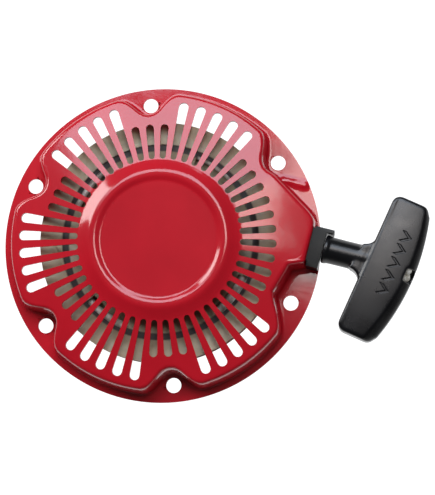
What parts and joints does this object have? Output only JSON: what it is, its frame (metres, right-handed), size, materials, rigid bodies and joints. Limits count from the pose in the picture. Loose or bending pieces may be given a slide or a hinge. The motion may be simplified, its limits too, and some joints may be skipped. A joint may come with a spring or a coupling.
{
  "type": "recoil starter",
  "caption": "Round pressed-steel pull starter with a slotted cover, roped reel, spiral return spring, swinging ratchets and a T-shaped pull grip.",
  "frame": {"origin": "centre of the six-hole bolt circle, on the flange's mounting face", "axes": "+Z along the reel's axis, away from the engine; +X midway between the two flange holes beside the rope outlet"},
  "size_m": [0.255, 0.19, 0.0412],
  "materials": {
    "red_enamel": "gloss enamel over pressed steel",
    "zinc_steel": "zinc plated",
    "black_nylon": "moulded nylon",
    "yellow_zinc": "yellow zinc plated",
    "natural_nylon": "moulded natural nylon",
    "spring_steel": "blued and oiled",
    "spring_wire": "drawn wire",
    "sintered_steel": "satin",
    "rope_white": "braided nylon",
    "black_abs": "moulded, satin"
  },
  "bodies": {
    "case": {"housing": "red_enamel", "center_post": "zinc_steel", "rope_guide": "black_nylon", "center_screw": "yellow_zinc", "thrust_washer": "zinc_steel", "recoil_spring": "spring_steel", "rope_lead": "rope_white"},
    "reel": {"reel": "natural_nylon", "rope_coil": "rope_white", "rope_reel_knot": "rope_white", "ratchet_pin_a": "zinc_steel", "ratchet_pin_b": "zinc_steel", "ratchet_spring_a": "spring_wire", "ratchet_spring_b": "spring_wire"},
    "ratchet_guide": {"ratchet_guide": "zinc_steel", "friction_spring": "spring_wire"},
    "ratchet_a": {"ratchet_a": "sintered_steel"},
    "ratchet_b": {"ratchet_b": "sintered_steel"},
    "grip": {"grip": "black_abs", "grip_washer": "zinc_steel", "rope_grip_knot": "rope_white"}
  },
  "joints": [
    {"name": "reel_spin", "type": "hinge", "parent": "case", "child": "reel", "pos_m": [0, 0, 0.0087], "axis": [0, 0, -1], "range_deg": [0, 1050], "stiffness_Nm_per_rad": 0.03, "springref_deg": -744.85, "deforming": ["recoil_spring"]},
    {"name": "grip_pull", "type": "slide", "parent": "case", "child": "grip", "axis": [0.9415, -0.3371, 0], "range_m": [0, 1.0446], "deforming": ["rope_lead"]},
    {"name": "ratchet_guide_turn", "type": "hinge", "parent": "reel", "child": "ratchet_guide", "pos_m": [0, 0, -0.0084], "axis": [0, 0, 1], "range_deg": [0, 25], "stiffness_Nm_per_rad": 0.02, "springref_deg": -11.46},
    {"name": "ratchet_a_swing", "type": "hinge", "parent": "reel", "child": "ratchet_a", "pos_m": [0, 0.02, -0.004], "axis": [0, 0, 1], "range_deg": [0, 28]},
    {"name": "ratchet_b_swing", "type": "hinge", "parent": "reel", "child": "ratchet_b", "pos_m": [0, -0.02, -0.004], "axis": [0, 0, 1], "range_deg": [0, 28]}
  ],
  "couplings": [
    {"joint": "grip_pull", "follows": "reel_spin", "m_per_rad": 0.057},
    {"joint": "ratchet_a_swing", "follows": "ratchet_guide_turn", "ratio": 1.12},
    {"joint": "ratchet_b_swing", "follows": "ratchet_guide_turn", "ratio": 1.12}
  ]
}
